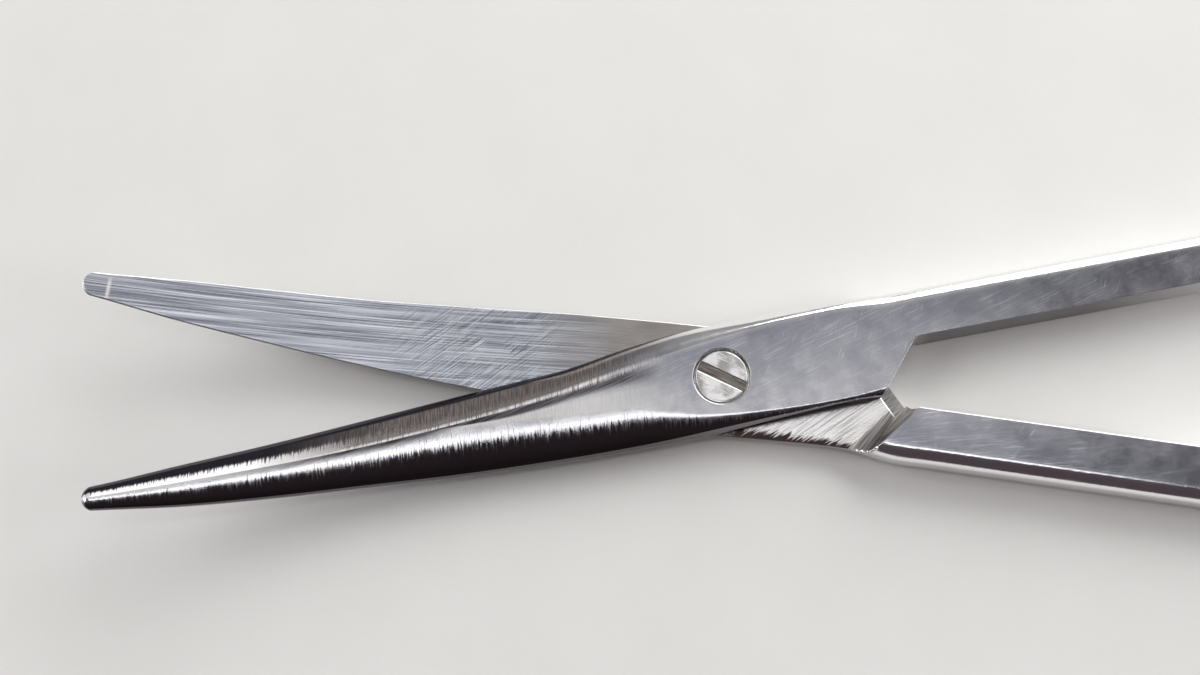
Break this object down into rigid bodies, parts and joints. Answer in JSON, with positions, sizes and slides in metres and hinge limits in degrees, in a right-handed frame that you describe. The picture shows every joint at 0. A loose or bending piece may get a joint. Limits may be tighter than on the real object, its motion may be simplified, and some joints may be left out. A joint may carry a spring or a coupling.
{
  "type": "dissecting scissors",
  "caption": "Curved dissecting scissors: blunt tips, lap joint with a slotted pivot screw, slim shanks and oval finger rings.",
  "frame": {"origin": "on the pivot axis, in the plane of the flat underside that the scissors lie on", "axes": "+X towards the finger rings, halving the angle between the two halves as they lie open; +Y towards the ring of the half with the screw head; +Z along the pivot axis, up to the side with the screw head, towards which the blades bend"},
  "size_m": [0.1674, 0.0922, 0.0101],
  "materials": {
    "forged_steel": "satin ground flats with polished rounded sides",
    "screw_steel": "turned and polished"
  },
  "bodies": {
    "lower": {"back_half": "forged_steel", "pivot_screw": "screw_steel"},
    "upper": {"front_half": "forged_steel"}
  },
  "joints": [
    {"name": "pivot", "type": "hinge", "parent": "lower", "child": "upper", "pos_m": [0, 0, 0.002], "axis": [0, 0, 1], "range_deg": [-19.5, 115]}
  ]
}
